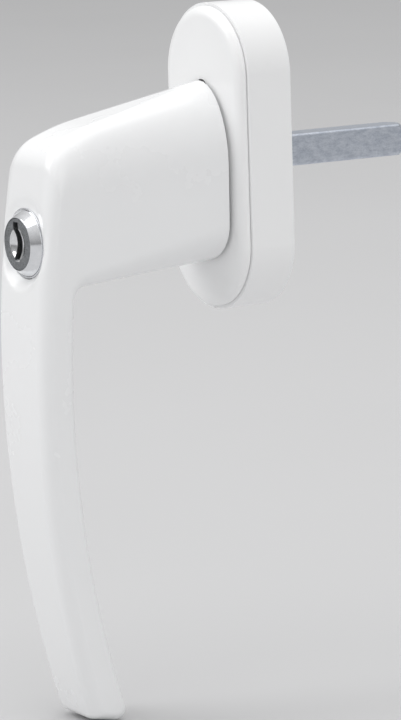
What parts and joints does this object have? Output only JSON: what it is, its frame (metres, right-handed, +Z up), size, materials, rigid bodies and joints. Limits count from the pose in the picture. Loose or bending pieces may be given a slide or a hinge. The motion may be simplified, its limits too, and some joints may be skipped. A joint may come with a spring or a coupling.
{
  "type": "lockable window handle",
  "caption": "Lockable window handle: curved grip on an offset neck that turns on a round-ended rosette, with a key lock in its front and a square spindle behind.",
  "frame": {"origin": "on the spindle's axis in the rosette's flat mounting plane", "axes": "+Y points away from the room into the sash, along the spindle; +Z is up; the grip hangs to -Z when the window is shut; the front of the grip faces -Y"},
  "size_m": [0.031, 0.0998, 0.1537],
  "materials": {
    "white_enamel": "smooth white powder coat, semi-gloss",
    "white_cover": "smooth white moulding, semi-gloss",
    "acetal": "smooth natural acetal",
    "zinc_plate": "bright zinc plate, mottled",
    "spring_steel": "bright",
    "chrome": "polished nickel or chrome plate",
    "lock_face": "dark, finely blasted",
    "brass": "bare"
  },
  "bodies": {
    "rosette": {"rosette_base": "white_cover", "rosette_cover": "white_cover", "bearing_bush": "acetal", "detent_spring_left": "spring_steel", "detent_spring_right": "spring_steel"},
    "handle": {"handle_body": "white_enamel", "hub": "zinc_plate", "index_cam": "zinc_plate", "thrust_washer": "brass", "retaining_ring": "spring_steel", "square_spindle": "zinc_plate", "spindle_pin": "spring_steel", "lock_trim_ring": "chrome", "lock_housing": "chrome", "housing_pin": "spring_steel", "bolt_guide": "brass", "bolt_spring": "spring_steel"},
    "plug": {"lock_plug": "lock_face", "wafers": "brass", "wafer_springs": "spring_steel", "plug_clip": "spring_steel", "bolt_driver": "zinc_plate"},
    "bolt": {"locking_bolt": "spring_steel"}
  },
  "joints": [
    {"name": "handle_turn", "type": "hinge", "parent": "rosette", "child": "handle", "pos_m": [0, 0, 0], "axis": [0, 1, 0], "range_deg": [-180, 180], "deforming": ["detent_spring_left", "detent_spring_right"]},
    {"name": "key_turn", "type": "hinge", "parent": "handle", "child": "plug", "pos_m": [0, 0, -0.0145], "axis": [0, 1, 0], "range_deg": [0, 90]},
    {"name": "bolt_throw", "type": "slide", "parent": "handle", "child": "bolt", "axis": [0, 1, 0], "range_m": [0, 0.0048], "deforming": ["bolt_spring"]}
  ],
  "couplings": [
    {"joint": "key_turn", "follows": "bolt_throw", "rad_per_m": 327.25}
  ]
}
